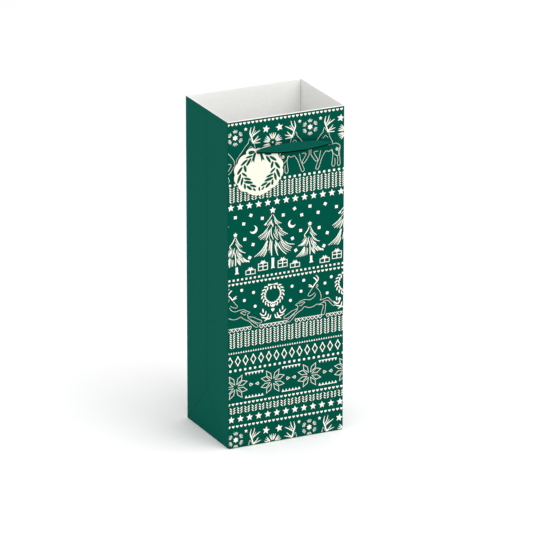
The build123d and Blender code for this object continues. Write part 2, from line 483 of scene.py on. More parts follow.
def base_folds():
    """The folds round the base."""
    wide, deep = HALF_W - CORNER_R, HALF_D - CORNER_R
    for way, word, other in ((-1, "front", None), (1, "back", "back_strip")):
        places = [(x, way * HALF_D) for x in even_spread(-wide, wide, 24)]
        fold_edge("base_fold_" + word, places, (0, way), "base", other)
    for side, word in SIDES:
        places = [(side * HALF_W, y) for y in even_spread(-deep, deep, 24)]
        fold_edge("base_fold_" + word, places, (side, 0), "base", word + "_triangle")


def hem_profile(depth, top):
    """Hem cross-section as (depth behind the outer face, z) on its outer and inner side."""
    radius = depth / 2
    turns = [radians(a) for a in even_spread(0, 180, 10)]

    def side(flat, round_r):
        straight = [(flat, z) for z in even_spread(HEM_LOW, top, 9)[:-1]]
        return straight + [(radius + round_r * cos(t), top + round_r * sin(t)) for t in turns]

    return side(depth, radius), side(depth - PAPER, max(radius - PAPER, 0.04))


def hem_piece(name, places, across, depth, top, body, node):
    """Turned-in top of one wall; places are points on its outer face and across its outward way."""
    ax, ay = across
    outer, inner = hem_profile(depth, top)

    def grid(profile):
        return [[settled((x - ax * d, y - ay * d, z)) for d, z in profile] for x, y in places]

    hem = sheet_piece(name, grid(outer), grid(inner), body, [WHITE_PAPER, WHITE_PAPER])
    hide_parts(node)
    return hem


def hems():
    """The turned-in tops of all four walls."""
    wide = HALF_W - CORNER_R
    for way, body in ((-1, "front"), (1, "back")):
        places = [(x, way * HALF_D) for x in even_spread(-wide, wide, 28)]
        punched(hem_piece(body + "_hem", places, (0, way), 2 * PAPER + CARD, WALL_TOP, body,
                          body + "_top_hem"))
    for side, word in SIDES:
        for way, half in ((-1, "front"), (1, "rear")):
            places = [(side * HALF_W, way * y) for y in close_spread(0.03, HALF_D - 1.3, 20)]
            hem_piece(f"{word}_{half}_hem", places, (side, 0), 2 * PAPER, SIDE_TOP,
                      f"{word}_{half}_gusset", f"{word}_gusset_{half}_hem")


# ---------------------------------------------------------------- printed motifs
# A motif is a list of shapes round its own origin: ("fill", outline) or ("strip", one edge, other edge)

def curve(points, steps=5):
    """Smooth line through the points."""
    if len(points) < 3:
        return list(points)
    ends = [points[0]] + list(points) + [points[-1]]
    line = []
    for a, b, c, d in zip(ends, ends[1:], ends[2:], ends[3:]):
        for k in range(steps):
            t = k / steps
            line.append(tuple(0.5 * (2 * q + (r - p) * t + (2 * p - 5 * q + 4 * r - s) * t * t
                                     + (3 * q - p - 3 * r + s) * t ** 3) for p, q, r, s in zip(a, b, c, d)))
    return line + [points[-1]]


def strip(edges):
    """Shape between pairs of edge points."""
    left, right = zip(*edges)
    return [("strip", left, right)]


def beside(here, before, after, reach):
    """The points on both sides of a line at this distance; before and after give its direction."""
    (x, z), dx, dz = here, after[0] - before[0], after[1] - before[1]
    length = hypot(dx, dz) or 1
    sx, sz = -dz / length * reach, dx / length * reach
    return (x + sx, z + sz), (x - sx, z - sz)


def stroke(points, wide, start=1.0, end=1.0):
    """Brush stroke along a smooth line; start and end are its width there, as parts of the full width."""
    line = curve(points)
    last = len(line) - 1
    edges = []
    for i, here in enumerate(line):
        t = i / last
        share = start + (1 - start) * min(1, 3 * t) if t < 0.5 else end + (1 - end) * min(1, 3 * (1 - t))
        edges.append(beside(here, line[max(i - 1, 0)], line[min(i + 1, last)], wide * share / 2))
    return strip(edges)


def strokes(*rows):
    """Brush strokes, each given as (points, width, start, end)."""
    return [shape for stroke_row in rows for shape in stroke(*stroke_row)]


def loop_line(points, wide):
    """Line of even width round a closed smooth shape."""
    count = len(points)
    line = []
    for i in range(count):
        line += curve([points[(i + k) % count] for k in (-1, 0, 1, 2)])[5:10]
    edges = [beside(here, line[i - 1], line[(i + 1) % len(line)], wide / 2) for i, here in enumerate(line)]
    return strip(edges + edges[:1])


def angular_line(points, wide):
    """Line of even width round a closed shape with sharp corners."""
    edges = []
    for i, (x, z) in enumerate(points):
        (ax, az), (bx, bz) = points[i - 1], points[(i + 1) % len(points)]
        before, after = hypot(x - ax, z - az), hypot(bx - x, bz - z)
        nx, nz = -((z - az) / before + (bz - z) / after), (x - ax) / before + (bx - x) / after
        size = hypot(nx, nz)
        reach = min(wide / 2 / max(size / 2, 0.3), wide)
        dx, dz = nx / size * reach, nz / size * reach
        edges.append(((x + dx, z + dz), (x - dx, z - dz)))
    return strip(edges + edges[:1])


def polar(radii, turn=90.0):
    """Outline through evenly spaced spokes of these lengths."""
    count = len(radii)
    return [(r * cos(radians(turn + 360 * i / count)), r * sin(radians(turn + 360 * i / count)))
            for i, r in enumerate(radii)]


def star(points, outer, inner, turn=90.0):
    return [("fill", polar([outer, inner] * points, turn))]


def dot(radius):
    return [("fill", polar([radius] * 12))]


def leaf(length, wide, at=(0, 0), turn=0.0, blunt=0.0):
    """Pointed oval that grows from a place at an angle."""
    c, s = cos(radians(turn)), sin(radians(turn))
    outline = []
    for i in range(14):
        t = 2 * pi * i / 14
        u = (1 - cos(t)) / 2
        v = sin(t) * wide / 2 * (1 - (1 - blunt) * 0.25 * abs(cos(t)))
        outline.append((at[0] + u * length * c - v * s, at[1] + u * length * s + v * c))
    return [("fill", outline)]


def between(start, end, wide, blunt=0.0):
    """Leaf from one place to another."""
    dx, dz = end[0] - start[0], end[1] - start[1]
    return leaf(hypot(dx, dz), wide, start, atan2(dz, dx) * 180 / pi, blunt)


def heart(wide, tall):
    outline = []
    for i in range(18):
        t = 2 * pi * (i + 0.5) / 18
        lobes = 13 * cos(t) - 5 * cos(2 * t) - 2 * cos(3 * t) - cos(4 * t)
        outline.append((wide / 2 * sin(t) ** 3, tall / 2 * (lobes + 2.5) / 14.5))
    return [("fill", outline)]


def placed(motif, x, z, turn=0.0, size=1.0, flip=False):
    """A motif moved to its place; flip mirrors it left to right first."""
    c, s, way = cos(radians(turn)), sin(radians(turn)), -1 if flip else 1

    def move(line):
        return [(x + size * (way * a * c - b * s), z + size * (way * a * s + b * c)) for a, b in line]

    return [(kind, *[move(line) for line in lines]) for kind, *lines in motif]


def row(motif, z, pitch, start, gaps=()):
    """A motif repeated across the front, leaving out any (from, to) gaps."""
    shapes = []
    for k in range(int(2 * HALF_W / pitch) + 3):
        x = start + pitch * k
        if x < HALF_W + pitch / 2 and not any(a < x < b for a, b in gaps):
            shapes += placed(motif, x, z)
    return shapes


REPEAT = 41.65          # half the pattern's repeat: it mirrors about each axis
FIRST_AXIS = -15.2      # axes of the large trees and wreaths are even, of the small trees odd
PATTERN = 323.4         # height at which the bands start again


def axes(odd):
    """Where the mirror axes of one kind lie, a little beyond the sides too."""
    return [FIRST_AXIS + REPEAT * k for k in range(-2, 4) if k % 2 == odd]


def mirrored(motif, odd, z=0.0):
    """A motif drawn for the right of an axis, on both sides of every axis of one kind."""
    return [shape for x in axes(odd) for flip in (False, True) for shape in placed(motif, x, z, flip=flip)]


def both_sides(motif):
    """A motif drawn for the right of the first axis, on both its sides only."""
    return [shape for flip in (False, True) for shape in placed(motif, FIRST_AXIS, 0, flip=flip)]


def on_axis(motif, odd, z=0.0):
    return [shape for x in axes(odd) for shape in placed(motif, x, z)]


HEART = heart(3.1, 2.8)
STAR = star(5, 3.9, 1.75)
SQUARE_DOT = [("fill", polar([1.5, 1.3, 1.3] * 4, 45))]
LINE = 0.36             # width of the drawn outlines


def fan(turn, near, needles_each_side):
    """Needles side by side that spread as they leave the middle: each is (offset, lean, length, width)."""
    c, s = cos(radians(turn)), sin(radians(turn))
    return [shape for off, lean, length, wide in needles_each_side for side in (-1, 1)
            for shape in leaf(length, wide, (near * c - side * off * s, near * s + side * off * c),
                              turn + side * lean, 0.4)]


def rosette():
    """Round snowflake: a star inside six short fans."""
    shapes = star(6, 3.1, 2.0)
    for k in range(6):
        turn = 90 + 60 * k
        shapes += fan(turn, 5.1, ((1.0, 28, 3.2, 0.66), (0.33, 9, 3.9, 0.66)))
    return shapes


def snow_crystal():
    """Large snowflake: six fans of needles between six dark points."""
    shapes = dot(0.9)
    for k in range(6):
        turn = 90 + 60 * k
        shapes += fan(turn, 3.5, ((0.95, 21, 7.0, 1.2), (0.33, 7.5, 7.0, 0.95)))
    return shapes


def antlers():
    """Branching antlers, from the middle of the brow."""
    return strokes(([(0, 0), (1.8, 6.2), (3.4, 11), (2.2, 17)], 1.3, 1, 0.3),
                   ([(2.4, 8), (-0.2, 12.2), (-1.6, 17.4)], 0.9, 1, 0.4),
                   ([(1.6, 6.4), (-2.6, 9.4), (-7.8, 12.4)], 1.0, 1, 0.4),
                   ([(0.2, 8.2), (-3, 12.8)], 0.8, 1, 0.4),
                   ([(0.2, 0.8), (-3, 3.2), (-5.8, 6.4)], 0.9, 1, 0.4),
                   ([(0.4, 0.4), (-4, 1.8), (-8.6, 3.2)], 0.9, 1, 0.3),
                   ([(0.8, -0.2), (-3.4, -0.6), (-8, -0.9)], 0.9, 1, 0.3))


def outline(*lines):
    """Thin lines through several sets of points."""
    return [shape for line in lines for shape in stroke(line, LINE)]


def standing_deer():
    """Deer in outline that stands with its chest to the right and looks back to the left."""
    shapes = placed(antlers(), 6.6, 324.4)
    shapes += outline(
        [(8.2, 325.6), (10.4, 329.4), (12, 325.4)],  # ear
        [(11.4, 325.2), (14.8, 321.8), (18.4, 317), (22.8, 311.6), (25.2, 307.6), (25.4, 304.8)],
        [(5.6, 323.2), (4, 317.8), (1.2, 312.6), (2.2, 311.2), (6, 312.4)],  # face and jaw
        [(6.6, 318.2), (9.2, 320.6), (12.2, 317.8)],
        [(8.6, 312.8), (7.4, 310.4), (3.4, 310), (-2, 310.6), (-6, 309)],  # back
        [(-6, 309), (-7.4, 306.6), (-5.6, 302), (-5.6, 297.8), (-4.2, 296.6)],
        [(2.4, 304.4), (1, 301), (-1.6, 298.4), (-4.2, 296.6)],
        [(2.4, 304.4), (5.6, 302.8), (8.9, 303.6), (12.8, 297.8), (15.4, 290.6), (16.6, 287),
         (18.4, 285.4), (20, 287), (18.4, 292), (16, 297.8), (14.6, 305)],
        [(1.8, 304.6), (0.8, 299), (1.4, 293), (2, 288.6), (0.4, 286), (-1.6, 288), (-1.4, 294.6)],
        [(-7.4, 305.6), (-6.6, 300), (-7.2, 293), (-7.4, 288), (-5.8, 285.8), (-4.4, 288), (-4.8, 293),
         (-4, 297)],
        [(17.4, 305), (22, 304), (18, 296.2), (19, 294.2), (21.4, 296), (25.2, 302), (25.4, 304.8)])
    return loop_line([(-3.6, 305.6), (-2.6, 303.8), (-4.2, 302.8), (-5, 304.4)], 0.7) + shapes


def leaping_deer():
    """Deer in outline that leaps to the right and looks back to the left."""
    shapes = strokes(
        ([(29.7, 158.9), (32.4, 162.6), (35.2, 165.4), (36, 168.6), (33.4, 171.6)], 1.1, 1, 0.6),
        ([(34.6, 165.2), (32.6, 168), (30.4, 169.6)], 1.2, 1, 0.7),
        ([(30, 159), (27.6, 161.4), (25.2, 162.8)], 1.1, 1, 0.6),
        ([(29.6, 159.4), (27, 160.2), (25, 160.6)], 0.8, 1, 0.6))
    return shapes + outline(
        [(33.4, 159.4), (35.2, 161.6), (35.6, 159.6), (33.8, 158.4)],
        [(29.4, 158.2), (26.6, 154.6), (24.6, 152.2), (25, 150.6), (27, 150.4), (30.2, 151.8), (32, 153.2)],
        [(33.9, 158.3), (36.8, 155), (38.6, 151.4), (39.4, 147), (38.2, 144)],
        [(33.2, 151.6), (31.2, 148.4), (27, 146.3), (22, 147.2), (17, 147), (13.4, 144.8), (10.4, 143.2),
         (12.6, 142.2)],
        [(12.8, 142.2), (13, 139.6), (11.8, 137), (7, 133.6), (1.6, 130.4), (-2, 130.4), (-2.6, 132.4),
         (1.6, 134.6), (6.4, 137.4), (12.2, 138.8)],
        [(20.6, 140), (17, 136.8), (12, 134.2), (8, 130), (4.4, 126.6), (1.8, 126.2), (1.8, 128.2),
         (5.4, 131.2), (10, 134.6)],
        [(20.6, 140), (25, 138.2), (29.6, 138.2), (34, 140), (38.4, 140), (42.4, 141.6)],
        [(38.2, 144), (42.6, 144.6), (46.8, 145.6), (50.6, 142.2), (55, 137.4), (54.6, 135.6),
         (52.4, 136.4), (47.4, 142), (43.8, 142.6), (41.6, 141.4)],
        [(42, 141.4), (44.4, 140.2), (44.4, 136), (43.4, 129.4), (41.6, 127.6), (39.8, 130), (41.8, 136.4),
         (40.8, 138.8), (36.8, 139.4)],
        [(14.6, 143.6), (17.6, 145.2), (20.8, 144.4), (18.4, 142.8), (16.6, 141.2), (15, 142.2)])


def needles(way, lines):
    """Brush strokes down one side of a fir, with a finer stroke between neighbours."""
    shapes = []
    for (*points, wide), following in zip(lines, [*lines[1:], None]):
        shapes += stroke([(way * x, z) for x, z in points], 0.62 * wide, 0.5, 0.6)
        if following and dist(points[0], following[0]) < 9:
            middle = [((a + c) / 2, (b + d) / 2) for (a, b), (c, d) in zip(points, following)]
            shapes += stroke([(way * x, z) for x, z in middle], 0.45, 0.6, 0.6)
    return shapes


def large_tree():
    """Large fir drawn in brush strokes, with a star on top."""
    shapes = placed(star(5, 3.7, 1.8), 0, 248.8)
    shapes += needles(1, [
        ((0.4, 244.6), (4.6, 237), (9.6, 233.6), 1.3), ((2, 238), (3.4, 234.6), (5.4, 233), 1.2),
        ((6.8, 231), (10.6, 225), (16.8, 221), 1.4), ((6.6, 225.2), (8.6, 222), (12.2, 219.8), 1.3),
        ((3.2, 231.4), (3.8, 225.4), (5.8, 220.4), 1.3), ((0.8, 224.2), (3, 219.4), (6, 216.2), 1.3),
        ((13.2, 214), (17.4, 210.4), (24.2, 208.9), 1.4), ((7.4, 221), (13.4, 211), (21.2, 205.8), 1.4),
        ((8.6, 214.6), (13.2, 207), (19.9, 202.5), 1.4), ((5.6, 212.8), (9.4, 205.4), (15.1, 199.5), 1.5),
        ((3, 216.2), (4, 212), (4.8, 209), 1.6), ((2.2, 211.8), (3.6, 205.4), (5.7, 199.6), 1.6)])
    shapes += needles(-1, [
        ((0.4, 244.6), (4.4, 239), (9.4, 234.6), 1.3), ((9.3, 234.2), (8, 234.8), (6.6, 236.2), 2.1),
        ((0.9, 239), (3.4, 236), (6.4, 233), 1.3), ((0.8, 237), (1.4, 235.4), (1, 233.4), 1.6),
        ((5.2, 231.2), (10, 226), (16.2, 222.4), 1.5), ((6, 226.8), (9, 222.6), (14, 219.4), 1.5),
        ((3.4, 228.4), (5.4, 222.6), (7.8, 218), 1.7), ((1.4, 231), (1.8, 224), (-0.6, 217.4), 1.4),
        ((6.4, 217.4), (11.8, 208.4), (20.6, 201.7), 1.5), ((5.6, 216.8), (9, 208), (14.4, 201.8), 1.7),
        ((6.4, 208.4), (8, 204.2), (10.4, 200.6), 1.6), ((2.4, 218.4), (3.6, 211.4), (4.4, 206), 1.5),
        ((0.9, 216), (1.5, 208), (1.3, 200.3), 1.9)])
    shapes += stroke([(0, 234.6), (0, 231)], 1.1, 1, 0.8)
    trunk = [(-1.5, 198), (1.6, 198), (1.3, 189), (2.3, 186.6), (0.6, 187.2), (-1.9, 186.4), (-1.4, 189)]
    return shapes + [("fill", trunk)]


def small_tree():
    """Smaller fir in brush strokes."""
    shapes = placed(star(5, 2.6, 1.4), 0, 228.3)
    shapes += needles(1, [
        ((0.3, 225.8), (3.4, 219), (7.6, 214.8), 1.4), ((0, 219.4), (2, 216.4), (3.6, 213.6), 1.5),
        ((2.6, 214.4), (5.6, 210.4), (11.2, 207.7), 1.4), ((0.8, 212.4), (1.8, 208), (3, 204.6), 1.3),
        ((3.6, 208.6), (5.4, 206.4), (7.6, 204.4), 1.3), ((3, 206.2), (5.4, 201.6), (9, 197.6), 1.4),
        ((8, 203.2), (11, 200), (15.6, 197.4), 2.2), ((8.6, 201.8), (12, 198.6), (15.2, 199.4), 1.3),
        ((3.4, 204), (4.6, 199.4), (6, 197.2), 1.3), ((1.4, 202.6), (3, 198.6), (5.6, 195.2), 1.4)])
    shapes += needles(-1, [
        ((0.3, 225.8), (3, 220.6), (6.4, 217), 1.6), ((6, 217.4), (6, 215.6), (4.6, 214.8), 1.4),
        ((3.6, 214), (7.6, 209), (13, 206), 1.7), ((4, 211.4), (7, 207.4), (9.4, 205.8), 1.6),
        ((1, 214.6), (2.4, 209), (4, 205), 1.5), ((6.2, 204.4), (10, 198.8), (15.4, 194.6), 1.5),
        ((6, 202.6), (8, 198), (11, 194.2), 1.3), ((5.6, 204), (6.4, 198.6), (6.8, 194.4), 1.6),
        ((2.6, 202.4), (3, 198.6), (3.4, 195.2), 1.5)])
    shapes += stroke([(-1, 210), (0.2, 204), (0.1, 195.2)], 1.1, 0.6, 0.9)
    trunk = [(0.2, 193.6), (2.6, 193.6), (2.8, 188.4), (3.9, 186.4), (-0.7, 186.2), (0.3, 188.4)]
    return shapes + [("fill", trunk)]


def gift_box(wide, tall, middle_bar):
    """Wrapped box in outline with a bow on top, standing on its origin."""
    half = wide / 2 - 0.6
    shapes = angular_line([(-half, 0.6), (half, 0.6), (half, tall - 0.6), (-half, tall - 0.6)], 0.7)
    shapes += [("strip", [(-0.45, 0.6), (-0.45, tall - 0.6)], [(0.45, 0.6), (0.45, tall - 0.6)])]
    if middle_bar:
        z = tall * 0.56
        shapes += [("strip", [(-half, z + 0.4), (half, z + 0.4)], [(-half, z - 0.4), (half, z - 0.4)])]
    for turn in (22, 62, 118, 158):
        shapes += leaf(3.4, 1.2, (0, tall - 0.3), turn, 0.6)
    return shapes


def moon():
    """Crescent, open to the upper right."""
    outer = [(4.3 * cos(radians(a)), 4.3 * sin(radians(a))) for a in even_spread(100, 345, 16)]
    inner = [(1.5 + 3.6 * cos(radians(a)), 1.3 + 3.4 * sin(radians(a))) for a in even_spread(334, 118, 16)]
    return [("fill", outer + inner)]


def wreath():
    """Wreath of paired leaves with a bow on top."""
    shapes = []
    for side in (-1, 1):
        for k in range(8):
            angle = 58 - 18.5 * k
            t = radians(angle)
            pinch = 1 - 0.1 * max(0, -sin(t))
            for radius, lean, length in ((10.7, 30, 4.3), (10.1, -42, 4.0)):
                at = (side * radius * pinch * cos(t), radius * 1.02 * sin(t) + 1.2)
                turn = angle - 90 + lean
                shapes += leaf(length, 1.45, at, turn if side > 0 else 180 - turn, 0.6)
        bow = ((1.0, 12.4), (5.2, 13.2), (5.3, 10.8), (1.0, 11.7))
        shapes.append(("fill", [(side * x, z) for x, z in bow]))
        shapes += leaf(3.9, 2.0, (side * 1.4, 10.6), -90 + side * 18, 0.6)
    shapes.append(("strip", [(-1.6, 12.3), (1.6, 12.3)], [(-1.6, 11.8), (1.6, 11.8)]))
    return shapes + leaf(3, 1.8, (0, -8.6), -90, 0.7)


def sprig():
    """Three pairs of leaves under a single one, to the right of an axis."""
    shapes = between((10.8, 140.4), (11.2, 145), 1.5, 0.6)
    for vertex, left, right in (((9, 137.4), (7.4, 142), (14.6, 140.7)),
                                ((6.4, 134.2), (4.8, 138.6), (12.8, 136.2)),
                                ((3.9, 132.8), (2.2, 137.2), (9.4, 131.4))):
        shapes += stroke([left, (vertex[0] - 0.8, vertex[1] + 1.4), vertex], 1.25, 0.4, 0.9)
        shapes += stroke([vertex, (vertex[0] + 2.6, vertex[1] + 0.4), right], 1.25, 0.9, 0.4)
    return shapes


def knit(z0, z1):
    """Band of knitted stitches: columns of slanted ovals in pairs."""
    stitch = leaf(3.1, 1.1, (-1.55, 0), 0, 0.85)
    column = []
    for k in range(round((z1 - z0 - 1.4) / 2.35) + 1):
        for side in (-1, 1):
            column += placed(stitch, side * 1.85, z0 + 1.3 + 2.35 * k, turn=side * 42)
    return row(column, 0, 8.17, -60.4)


def nordic_star():
    """Eight-pointed star in outline: two kites in each quarter."""
    shapes = []
    for sx in (-1, 1):
        for sz in (-1, 1):
            for kite in ([(1.1, 2.7), (2.2, 8.6), (7.2, 12.0), (6.5, 6.5)],
                         [(2.7, 1.1), (8.6, 1.2), (12.9, 4.6), (7.6, 6.0)]):
                shapes += angular_line([(sx * x, sz * z) for x, z in kite], 0.55)
    return shapes


def teeth(way):
    """Short bar with six triangular teeth."""
    shapes = [("strip", *[[(-10.4, z * way), (10.4, z * way)] for z in (0.55, 1.15)])]
    for k in range(6):
        x = 3.65 * (k - 2.5)
        shapes.append(("fill", [(x - 1.25, 0.7 * way), (x + 1.25, 0.7 * way), (x, -1.9 * way)]))
    return shapes


def bands():
    """Every band of the print, with the height at which it starts: heights are from the base."""
    top = row(HEART, 346.4, 4.5, -64.4)
    crown = on_axis(rosette(), 1, 332.2) + on_axis(snow_crystal(), 0, 321.8)
    crown += mirrored(placed(star(5, 4.2, 1.9, 100), 7.4, 337), 0)
    crown += mirrored(placed(star(5, 2.1, 1.0), 30, 340), 0)
    crown += mirrored(placed(standing_deer(), -FIRST_AXIS - REPEAT, 0), 1)
    yield "crown", top + crown
    yield "knit", row(SQUARE_DOT, 282, 5.53, -62.6) + knit(263, 279.2) + row(STAR, 257.8, 10.27, -61.8)
    trees = on_axis(large_tree(), 0) + on_axis(small_tree(), 1)
    trees += both_sides(placed(moon(), 21.4, 231.2))
    for d, z, turn in ((11.7, 242, 0), (24.4, 247, 30), (32.4, 239, 10), (41.65, 247, 0), (22, 215.4, 20),
                       (31.2, 222.4, 0), (25.8, 202, 30)):
        flower = [("fill", polar([2.25, 1.75, 1.45, 1.75] * 4, 45 + turn))]
        trees += mirrored(placed(flower, d, z), 0) if d < REPEAT else on_axis(flower, 1, z)
    trees += mirrored(placed(gift_box(11.4, 8.4, True), 11, 185.8), 0)
    trees += mirrored(placed(gift_box(11.6, 5.4, False), 24.9, 183.6), 0)
    yield "trees", trees
    yield "dots", row(star(4, 1.45, 1.05, 45), 180, 4.72, -63.6) + row(HEART, 175.2, 4.57, -64.2)
    wreaths = on_axis(wreath(), 0, 157.4) + on_axis(heart(3.9, 4.0), 0, 141.8) + mirrored(sprig(), 0)
    wreaths += both_sides(placed(leaping_deer(), -FIRST_AXIS, 0))
    for x, z in ((19.6, 168.3), (6.4, 164), (16.6, 157), (4.6, 149), (43.7, 161.5), (50.9, 167.2),
                 (46.3, 150.5), (60.3, 142)):
        wreaths += both_sides(placed(dot(1.65), x - FIRST_AXIS, z))
    linked = loop_line([(0, -1.9), (1.9, 0.4), (1.2, 1.7), (0, 1), (-1.2, 1.7), (-1.9, 0.4)], 0.6)
    wreaths += row(linked, 126.6, 4.42, -63.4, ((-38.5, -31.5), (0.8, 8.4), (38.4, 43.8)))
    yield "wreaths", wreaths
    lower = knit(107, 122.2) + row([("fill", [(-0.95, -0.9), (0.95, -0.9), (0, 1.1)])], 102.2, 2.75, -64.4)
    diamond = angular_line([(0, 4.6), (2.8, 0), (0, -4.6), (-2.8, 0)], 0.85)
    diamond += placed(dot(0.85), 0, 4.6) + placed(dot(0.85), 0, -4.6)
    yield "lower", lower + row(diamond, 92.9, 8.69, -63.1) + row(SQUARE_DOT, 83.2, 5.53, -62.7)
    nordic = on_axis(nordic_star(), 0, 65.4) + on_axis(nordic_star(), 1, 65.4)
    for x in axes(0) + axes(1):
        middle = x + REPEAT / 2
        nordic += placed(teeth(1), middle, 78) + placed(teeth(-1), middle, 53)
        for way in (-1, 1):
            pip = angular_line([(way * a, b) for a, b in ((-1.9, 0), (0.9, 1.5), (1.7, 0), (0.9, -1.5))], 0.6)
            nordic += placed(pip + dot(0.3), middle + way * 3.5, 65.8)
    yield "nordic", nordic
    foot = row(HEART, 47, 4.55, -64.4) + knit(36.6, 43.2) + row(STAR, 30.8, 10.27, -61.8)
    foot += row(HEART, 22.9, 4.55, -64.2)
    yield "foot", foot + [(kind, *[[(x, z - PATTERN) for x, z in line] for line in lines])
                          for kind, *lines in crown]


INK_PROUD = 0.02
INK_STEP = 0.002        # shapes that overlap lie at slightly different heights
INK_SUNK = 0.05


def printed(name, shapes, place, window, body, material):
    """Thin printed shapes: drawn flat, cut to the window, then laid on a surface by place(x, z, height)."""
    work = bmesh.new()

    def prism(top_faces, rim, points, proud):
        top = [work.verts.new((x, proud, z)) for x, z in points]
        low = [work.verts.new((x, -INK_SUNK, z)) for x, z in points]
        for face in top_faces:
            work.faces.new([top[i] for i in face])
            work.faces.new([low[i] for i in reversed(face)])
        for a, b in rim:
            work.faces.new((top[a], low[a], low[b], top[b]))

    for k, (kind, *lines) in enumerate(shapes):
        proud = INK_PROUD + INK_STEP * (k % 12)
        if kind == "fill":
            points = lines[0]
            faces = tessellate_polygon([[Vector((x, z, 0)) for x, z in points]])
            prism(faces, [(i, (i + 1) % len(points)) for i in range(len(points))], points, proud)
        else:
            left, right = lines
            closed = left[0] == left[-1]
            if closed:
                left, right = left[:-1], right[:-1]
            count = len(left)
            steps = [(i, (i + 1) % count) for i in range(count if closed else count - 1)]
            rim = steps + [(b + count, a + count) for a, b in steps]
            if not closed:
                rim += [(count, 0), (count - 1, 2 * count - 1)]
            prism([(a, b, b + count, a + count) for a, b in steps], rim, left + right, proud)
    (x0, z0), (x1, z1) = window
    for point, way in (((x0, 0, 0), (-1, 0, 0)), ((x1, 0, 0), (1, 0, 0)),
                       ((0, 0, z0), (0, 0, -1)), ((0, 0, z1), (0, 0, 1))):
        cut = bmesh.ops.bisect_plane(work, geom=[*work.verts, *work.edges, *work.faces], plane_co=point,
                                     plane_no=way, clear_outer=True, dist=1e-5)
        edges = [e for e in cut["geom_cut"] if isinstance(e, bmesh.types.BMEdge) and e.is_boundary]
        if edges:
            bmesh.ops.holes_fill(work, edges=edges, sides=0)
    for vert in work.verts:
        vert.co = Vector(place(vert.co.x, vert.co.z, vert.co.y)) * MM
    bmesh.ops.recalc_face_normals(work, faces=work.faces)
    mesh = bpy.data.meshes.new(name)
    work.to_mesh(mesh)
    work.free()
    mesh.materials.append(material)
    piece = in_scene(name, mesh)
    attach(piece, body)


PRINT_RISE = 7.2        # four times the rise of the print at half height, against its even layout


def laid_out(z):
    """Height of a printed point on the wall."""
    return z + PRINT_RISE * max(0, z / HEIGHT * (1 - z / HEIGHT))


def on_front(x, z, height):
    x, y, z = settled((x, -HALF_D, laid_out(z)))
    return (x, y - height, z)


def on_back(x, z, height):
    x, y, z = settled((-x, HALF_D, laid_out(z)))
    return (x, y + height, z)


def front_and_back_print():
    """The same bands on the front wall and on the back wall."""
    side = HALF_W - 0.45
    for name, shapes in bands():
        window = ((-side, CORNER_R + 0.1), (side, WALL_TOP - 0.1))
        printed("front_print_" + name, shapes, on_front, window, "front", INK)
        low, body = (CORNER_R + 0.1, "back_strip") if name == "foot" else (FOLD_Z + 0.2, "back")
        window = ((-side, low), (side, FOLD_Z - 2.1 if name == "foot" else WALL_TOP - 0.1))
        printed("back_print_" + name, shapes, on_back, window, body, INK)


# ---------------------------------------------------------------- ribbons

RIBBON_R = node_box("front_ribbon_end_right")[1][0] - node_middle("front_ribbon_end_right")[0]
TAG_HOLE_X, _, TAG_HOLE_Z = (c - RIBBON_R for c in node_box("front_ribbon_end_left")[1])
GATHERED_R = RIBBON_R - 0.15
FLATTENED_R = 0.38      # where the ribbon lies flat between the wall and the tag
RIBBON_WIDE = 10.4
RIBBON_SHEET = 0.2
LAYER = 0.42            # one fold of the ribbon over the next
# width of the painted shadow along the ribbon's lower edge
PAINTED_SHADOW_WIDE = 1.3
GATHERED_HALF = 1.15    # half the ribbon's height where it is gathered
FOLD_BACK = 0.3         # each fold but the first stops this far short of the face's edge


def folded_section(high, low, steps):
    """The ribbon's width folded behind a face between two heights, as (up, depth behind the face)."""
    section, reach = [], high - low
    turns = [0.0]
    while turns[-1] < RIBBON_WIDE:
        turns.append(turns[-1] + reach - FOLD_BACK * min(len(turns) - 1, 1))
    for j in range(steps + 1):
        w = RIBBON_WIDE * j / steps
        k = max(i for i, turn in enumerate(turns) if turn <= w + 1e-9)
        into = w - turns[k]
        up = high - into if k == 0 else (low + into if k % 2 else high - FOLD_BACK - into)
        depth = 0.0
        for turn in turns[1:]:
            t = min(1, max(0, (w - turn) / 0.9 + 0.5))
            depth += LAYER * t * t * (3 - 2 * t)
        section.append((up, depth))
    return section


